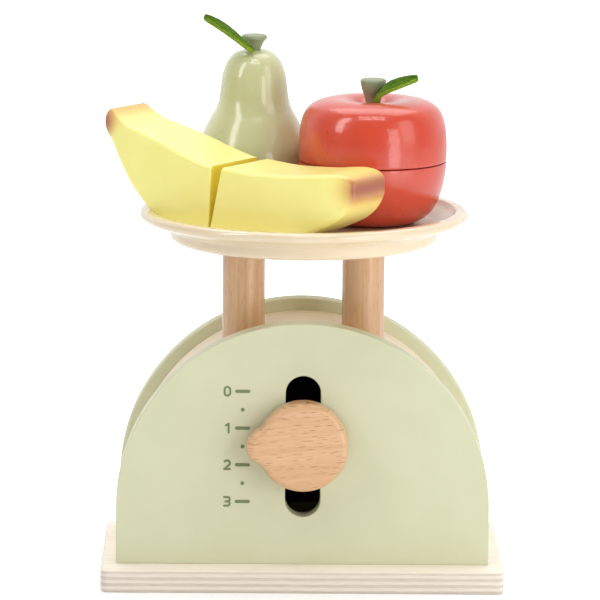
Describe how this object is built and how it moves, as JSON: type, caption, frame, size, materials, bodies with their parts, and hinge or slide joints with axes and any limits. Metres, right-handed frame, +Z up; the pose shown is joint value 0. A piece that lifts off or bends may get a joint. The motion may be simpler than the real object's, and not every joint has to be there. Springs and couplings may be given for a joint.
{
  "type": "wooden balance scale toy",
  "caption": "Wooden toy kitchen scale: an arched housing with a slotted dial, a sprung tray on posts with a pointer knob, and play fruit that lifts off and parts.",
  "frame": {"origin": "middle of the base board's underside", "axes": "+Z up, -Y towards the dial face and the user, +X to the right as the dial is read"},
  "size_m": [0.16, 0.1312, 0.2224],
  "materials": {
    "birch_plywood": "clear matt lacquer on birch plywood, plies showing at the edges",
    "sage_paint": "satin sage green paint on fibreboard",
    "bent_plywood": "clear satin lacquer on thin bent plywood",
    "screw_steel": "zinc plated steel",
    "beech": "sanded beech",
    "spring_steel": "bright drawn spring wire",
    "dial_ink": "matt printed ink",
    "dark_stain": "dark brown stain on beech, as the inside of the housing",
    "post_beech": "clear satin lacquer on beech dowel",
    "cream_lacquer": "gloss cream lacquer on turned wood",
    "knob_beech": "clear satin lacquer on beech",
    "red_lacquer": "gloss red lacquer on turned wood",
    "stem_paint": "matt grey green paint on turned dowel",
    "green_felt": "pressed wool felt",
    "hook_and_loop": "woven hook and loop tape",
    "pear_lacquer": "gloss pale green lacquer on turned wood",
    "banana_lacquer": "satin yellow lacquer, tips airbrushed brown"
  },
  "bodies": {
    "housing": {"base_board": "birch_plywood", "front_panel": "sage_paint", "rear_panel": "sage_paint", "arch_band": "bent_plywood", "base_screws": "screw_steel", "spring_pegs": "beech", "left_spring": "spring_steel", "right_spring": "spring_steel", "dial_marks": "dial_ink"},
    "carriage": {"slide_block": "dark_stain", "left_post": "post_beech", "right_post": "post_beech", "post_screws": "screw_steel", "tray": "cream_lacquer", "tray_screws": "screw_steel", "knob": "knob_beech", "knob_shaft": "beech", "shaft_screw": "screw_steel"},
    "apple_bottom_half": {"apple_lower": "red_lacquer", "apple_loop_disc": "hook_and_loop"},
    "apple_top_half": {"apple_upper": "red_lacquer", "apple_stem": "stem_paint", "apple_leaf": "green_felt", "apple_hook_disc": "hook_and_loop"},
    "pear": {"pear_body": "pear_lacquer", "pear_stem": "stem_paint", "pear_leaf": "green_felt"},
    "banana_left_half": {"banana_left": "banana_lacquer", "banana_loop_disc": "hook_and_loop"},
    "banana_right_half": {"banana_right": "banana_lacquer", "banana_hook_disc": "hook_and_loop"}
  },
  "joints": [
    {"name": "tray_slide", "type": "slide", "parent": "housing", "child": "carriage", "axis": [0, 0, 1], "range_m": [-0.0235, 0.0206], "stiffness_N_per_m": 79, "springref_m": 0.0327, "deforming": ["left_spring", "right_spring"]},
    {"name": "apple_lift", "type": "slide", "parent": "carriage", "child": "apple_bottom_half", "axis": [0, 0, 1], "range_m": [0, 0.06]},
    {"name": "apple_top_lift", "type": "slide", "parent": "apple_bottom_half", "child": "apple_top_half", "axis": [0, 0, 1], "range_m": [0, 0.06]},
    {"name": "pear_lift", "type": "slide", "parent": "carriage", "child": "pear", "axis": [0, 0, 1], "range_m": [0, 0.06]},
    {"name": "banana_left_lift", "type": "slide", "parent": "carriage", "child": "banana_left_half", "axis": [0, 0, 1], "range_m": [0, 0.06]},
    {"name": "banana_right_lift", "type": "slide", "parent": "carriage", "child": "banana_right_half", "axis": [0.114, -0.0798, 0.9903], "range_m": [0, 0.06]}
  ]
}
